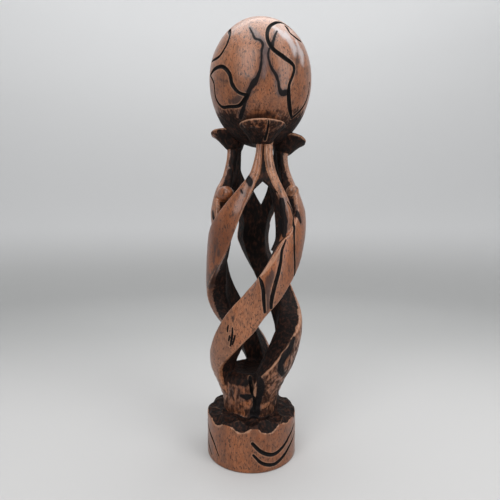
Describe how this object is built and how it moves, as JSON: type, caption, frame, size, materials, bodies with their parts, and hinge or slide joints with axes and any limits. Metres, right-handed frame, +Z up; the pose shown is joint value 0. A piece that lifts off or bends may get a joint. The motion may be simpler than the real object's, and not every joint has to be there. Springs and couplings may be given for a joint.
{
  "type": "wood carving of hands holding up a globe",
  "caption": "Openwork carved wooden ornament: an egg-shaped globe held by cupped hands on intertwined arms, over a round base with a gouged top.",
  "frame": {"origin": "centre of the base's flat underside", "axes": "+Z up, -Y to the front as pictured, +X to the viewer's right"},
  "size_m": [0.085, 0.0831, 0.35],
  "materials": {
    "wood": "stained dark, faces sanded back to orange-brown, satin polish"
  },
  "bodies": {
    "root": {"carving": "wood"}
  },
  "joints": []
}
